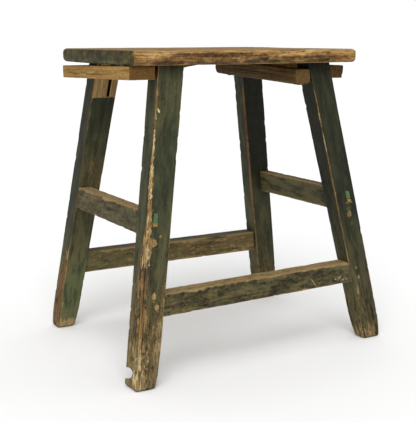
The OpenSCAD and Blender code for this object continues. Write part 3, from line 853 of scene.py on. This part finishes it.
def seat():
    """A plank worn bare and hollow on top, cracked in front, still green at the left end."""
    piece = Piece("seat", SEAT_VOXEL)
    along = piece.at[:, 0]
    back_left = step(-190, -208, along) * step(60, 115, piece.at[:, 1])
    ends = 5.5 * step(165, 192, along) + 2.0 * step(-170, -200, along) + 4.0 * back_left
    hand_worked(piece, wave=0.2, chip=0.8, radius=1.2 + ends)
    x, y, z = piece.at.T
    top = z.max()
    value = piece.values
    left, front, up = piece.looks(LEFT, 0.3), piece.looks(FRONT, 0.3), piece.looks(UP, 0.5)
    dish = np.exp(-((x - 5) / 120) ** 2 - ((y - 5) / 85) ** 2)
    worn_end = step(150, 190, x) * (0.5 + 1.0 * np.exp(-((y - 35) / 60) ** 2))
    piece.carve(up * (1.6 * dish + worn_end + 0.5 * piece.noise((60, 5, 5), 32, 3)))
    value["bare"] += 0.95 - 0.88 * left
    face = front * step(top - 4, top - 9, z)
    value["brown"] += 0.75 * face * step(top - 8, top - 14, z)
    cracked = front * between(-165, 20, x, 6) * between(top - 11, top - 5, z, 1.5)
    value["brown"] += 0.8 * cracked * step(0.40, 0.56, piece.noise((34, 5, 3), 33, 3))
    for place, start, end in ((6.5, -168, 24), (9.5, -120, -10), (13.0, 40, 170)):
        piece.split(front, top - z, x, place, start, end, depth=1.3, wander=1.6, seed=int(place))
    remains = face * between(-120, 140, x, 20) * step(top - 13, top - 17, z)
    value["bare"] -= remains * 0.46 * (0.4 + piece.noise((24, 7, 7), 30, 2))
    value["dirt_and_shade"] += 0.40 * remains * step(0.45, 0.60, piece.noise((14, 5, 5), 47, 3))
    for middle, size in (((14, top - 14), (7, 2.6)),
                         ((33, top - 19), (8, 2.6)),
                         ((121, top - 12), (6, 2.2)),
                         ((131, top - 18), (9, 2.4))):
        value["bare"] -= 0.55 * front * spot(x, z, middle, size)
        value["dirt_and_shade"] += 0.45 * front * spot(x, z, middle, size)
    value["dirt_and_shade"] += 0.80 * front * spot(x, z, (-152, top - 19), (22, 4.2))
    cream = front * between(-208, -168, x, 6) * between(top - 14, top - 6, z, 2)
    value["pale"] += 0.40 * cream
    value["brown"] *= 1 - cream
    value["dirt_and_shade"] += front * spot(x, z, (90, top - 4), (2.6, 1.8))
    flecks = step(0.57, 0.66, piece.noise((5, 2.6, 2.6), 48, 2))
    value["split"] += 0.55 * front * between(top - 15, top - 4, z, 2) * flecks
    value["aged"] += 0.85 * up
    scraped = piece.noise((4, 5, 3), 31, 2)
    value["fresh"] += 0.7 * left * step(top - 15, top - 20, z) * step(0.48, 0.62, scraped)
    value["pale"] += 0.5 * left * step(top - 15, top - 21, z) * step(0.52, 0.66, scraped)
    value["aged"] += 0.7 * left * piece.noise((9, 12, 7), 39, 3)
    value["dirt_and_shade"] += 0.5 * left * step(0.52, 0.64, piece.noise((9, 16, 9), 40, 3))
    for place, start, end in ((-96, -150, 60), (-30, -200, -40), (58, 20, 190), (110, -90, 90)):
        piece.split(up, y, x, place, start, end, width=1.1, wander=3.0, seed=place + 200)
    piece.finish(seat_wood, "worn_wood")


def batten_left():
    """The newer, light strip under the left end of the seat."""
    piece = Piece("batten_left", NEW_BATTEN_VOXEL)
    hand_worked(piece, wave=0.3, chip=0.6, radius=0.9, spread=0.8)
    piece.values["bare"] += 1
    # Painted shade on the top face and along the top edge, where the strip meets the seat
    piece.values["dirt_and_shade"] += 0.35 * piece.looks(UP) + 0.3 * np.exp(-(piece.depth(UP) / 2.0) ** 2)
    piece.split(piece.looks(LEFT), piece.depth(DOWN), piece.at[:, 1], 8.0, -60, 125, width=0.7,
                seed=7)
    piece.finish(new_wood, "new_wood")


def dark_strips():
    """The old bare strips at the right end, and the shim."""
    piece = Piece("batten_right", DARK_STRIP_VOXEL)
    hand_worked(piece, wave=0.5, radius=1.6)
    piece.values["bare"] += 1
    piece.finish(bare_wood, "bare_wood")

    piece = Piece("cleat_right", DARK_STRIP_VOXEL)
    piece.round_off(11.0, (RIGHT, DOWN))
    hand_worked(piece, wave=0.5, radius=1.6)
    piece.values["bare"] += 1
    # Painted shade: the inner side darker towards the back, and the underside darker
    piece.values["dirt_and_shade"] += piece.looks(LEFT) * (0.16 + 0.36 * step(-60, 90, piece.at[:, 1]))
    piece.values["dirt_and_shade"] += 0.35 * piece.looks(DOWN)
    piece.values["aged"] += 0.9 * piece.looks(FRONT)
    piece.split(piece.looks(LEFT), piece.depth(DOWN), piece.at[:, 1], 14.0, -90, 90, seed=8)
    piece.finish(bare_wood, "bare_wood")

    piece = Piece("corner_shim", SMALL_PIECE_VOXEL)
    hand_worked(piece, wave=0.15, chip=0.3, radius=0.4, spread=0.3)
    piece.values["bare"] += 1
    piece.finish(bare_wood, "bare_wood")


def wedges():
    """The pale wedges of all tenons."""
    for node in ("leg_wedges", "long_rail_wedges", "end_rail_wedges"):
        piece = Piece(node, SMALL_PIECE_VOXEL, soften=1)
        piece.carve(0.12 * piece.noise((12, 1.5, 1.5), 2, 2))
        piece.values["bare"] += 1
        piece.values["aged"] += 0.5
        piece.finish(new_wood, "new_wood")


def nails():
    """All nails, rusted."""
    for node in ("batten_left_nails", "batten_right_nails", "cleat_nails"):
        piece = Piece(node, NAIL_VOXEL, soften=1)
        piece.carve(0.3 * piece.noise((3, 3, 3), 2, 2))
        piece.finish(iron, "nail_iron")


leg_front_left()
leg_front_right()
leg_back_left()
leg_back_right()
rail_front()
rail_back()
end_rail_left()
end_rail_right()
seat()
batten_left()
dark_strips()
wedges()
nails()


# ---- floor, light and camera ---------------------------------------------

def floor():
    """A wide, pale, plain floor."""
    reach = 20.0
    mesh = bpy.data.meshes.new("floor")
    mesh.from_pydata([(-reach, -reach, 0), (reach, -reach, 0), (reach, reach, 0), (-reach, reach, 0)],
                     [], [(0, 1, 2, 3)])
    made = bpy.data.objects.new("floor", mesh)
    bpy.context.scene.collection.objects.link(made)
    s = Shader("floor")
    s.surface.inputs["Base Color"].default_value = (0.93, 0.93, 0.93, 1)
    s.surface.inputs["Roughness"].default_value = 0.9
    mesh.materials.append(s.material)


def soft_sun(name, direction, strength, angle):
    """Light from far away in a direction, with soft shadows; it falls evenly over the floor."""
    data = bpy.data.lights.new(name, "SUN")
    data.energy = strength
    data.angle = math.radians(angle)
    made = bpy.data.objects.new(name, data)
    made.rotation_mode = "QUATERNION"
    made.rotation_quaternion = Vector(direction).to_track_quat("Z", "Y")
    bpy.context.scene.collection.objects.link(made)


def studio_light():
    """A white surrounding that lights gently, a large key light and a soft light from above."""
    world = bpy.data.worlds.new("studio")
    world.use_nodes = True
    nodes, links = world.node_tree.nodes, world.node_tree.links
    # The camera sees the surrounding as plain white, and it lights the stool with less than half
    seen = nodes.new("ShaderNodeLightPath")
    strength = nodes.new("ShaderNodeMapRange")
    strength.inputs["To Min"].default_value = 0.45
    strength.inputs["To Max"].default_value = 1.0
    links.new(seen.outputs["Is Camera Ray"], strength.inputs["Value"])
    links.new(strength.outputs["Result"], nodes["Background"].inputs["Strength"])
    nodes["Background"].inputs["Color"].default_value = (1, 1, 1, 1)
    bpy.context.scene.world = world
    soft_sun("key", (-0.45, -0.75, 0.75), 1.8, 50)
    soft_sun("top", (0.1, 0.1, 1), 1.0, 90)


def camera():
    """The camera stands in front, to the left and a little above, about 1.5 m away."""
    azimuth, elevation, distance = math.radians(-30.84), math.radians(11.62), 1.52
    centre = (cad_bounds[0] + cad_bounds[1]) / 2
    aim = centre + Vector((0.0068, -0.0422, -0.0357))
    back = Vector((math.sin(azimuth) * math.cos(elevation), -math.cos(azimuth) * math.cos(elevation),
                   math.sin(elevation)))
    data = bpy.data.cameras.new("camera")
    data.lens = 75.56
    data.sensor_width = 36
    data.shift_x = -0.0492
    data.shift_y = 0.0168
    made = bpy.data.objects.new("camera", data)
    made.location = aim + back * distance
    made.rotation_mode = "QUATERNION"
    made.rotation_quaternion = (-back).to_track_quat("-Z", "Y")
    bpy.context.scene.collection.objects.link(made)
    bpy.context.scene.camera = made


floor()
studio_light()
camera()
bpy.context.scene.view_settings.view_transform = "Standard"
